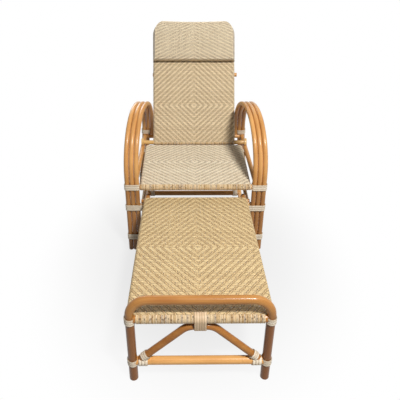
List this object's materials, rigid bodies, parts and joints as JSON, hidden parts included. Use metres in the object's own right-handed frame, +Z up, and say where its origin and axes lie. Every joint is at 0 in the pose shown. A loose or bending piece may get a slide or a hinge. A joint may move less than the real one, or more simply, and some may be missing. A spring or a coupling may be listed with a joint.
{
  "type": "rattan chaise longue",
  "caption": "Bent rattan chaise longue with woven cane seat, arched pole arms, a back that reclines on a support bar, and a hooped footrest that slides under the seat.",
  "frame": {"origin": "on the floor, under the middle of the whole chair with its footrest drawn out", "axes": "+Z up, +Y from the footrest towards the back, +X to the right as seen from the footrest end"},
  "size_m": [0.703, 1.6066, 1.0187],
  "materials": {
    "rattan": "gloss",
    "rattan_dark": "gloss",
    "pale_wood": "satin",
    "cane_weave": "satin",
    "cane_binding": "satin",
    "steel": "satin"
  },
  "bodies": {
    "frame": {"arm_pole_inner_left": "rattan", "arm_pole_inner_right": "rattan", "arm_pole_middle_left": "rattan", "arm_pole_middle_right": "rattan", "arm_pole_outer_left": "rattan", "arm_pole_outer_right": "rattan", "side_rail_left": "rattan", "side_rail_right": "rattan", "seat_front_rail": "rattan", "seat_side_bar_left": "rattan", "seat_side_bar_right": "rattan", "seat_mid_bar": "rattan", "seat_rear_bar": "rattan", "seat_weave": "cane_weave", "rear_bearer": "rattan", "rear_cross_rail": "rattan", "runner_left": "pale_wood", "runner_right": "pale_wood", "lower_stretcher_left": "rattan", "lower_stretcher_right": "rattan", "lower_cross_stretcher": "rattan", "cross_stretcher_bindings": "cane_binding", "front_leg_bindings_left": "cane_binding", "front_leg_bindings_right": "cane_binding", "rear_leg_bindings_left": "cane_binding", "rear_leg_bindings_right": "cane_binding", "bearing_cheek_left": "pale_wood", "bearing_cheek_right": "pale_wood"},
    "backrest": {"back_axle": "pale_wood", "back_hoop": "rattan", "back_lower_rail": "rattan", "back_upper_rail": "rattan", "back_weave": "cane_weave", "headrest_ribs": "pale_wood", "headrest_weave": "cane_weave", "rack_left": "pale_wood", "rack_right": "pale_wood", "keeper_left": "steel", "keeper_right": "steel"},
    "bail": {"bail_bar": "rattan", "bail_arm_left": "pale_wood", "bail_arm_right": "pale_wood"},
    "footrest": {"footrest_hoop": "rattan_dark", "footrest_side_rail_left": "rattan_dark", "footrest_side_rail_right": "rattan_dark", "footrest_front_rail": "rattan_dark", "footrest_rear_rail": "rattan_dark", "footrest_mid_bars": "rattan_dark", "footrest_weave": "cane_weave", "footrest_slide_bar": "rattan_dark", "footrest_stretcher": "rattan_dark", "footrest_brace": "rattan_dark", "footrest_leg_bindings_left": "cane_binding", "footrest_leg_bindings_right": "cane_binding", "footrest_centre_binding": "cane_binding", "footrest_corner_bindings": "cane_binding"}
  },
  "joints": [
    {"name": "back_recline", "type": "hinge", "parent": "frame", "child": "backrest", "pos_m": [0, 0.46951, 0.39], "axis": [-1, 0, 0], "range_deg": [0, 22]},
    {"name": "bail_swing", "type": "hinge", "parent": "frame", "child": "bail", "pos_m": [0, 0.62751, 0.362], "axis": [-1, 0, 0], "range_deg": [0, 26.8]},
    {"name": "footrest_slide", "type": "slide", "parent": "frame", "child": "footrest", "axis": [0, 1, 0], "range_m": [0, 0.6]}
  ],
  "couplings": [
    {"joint": "bail_swing", "follows": "back_recline", "ratio": 1.2173}
  ]
}
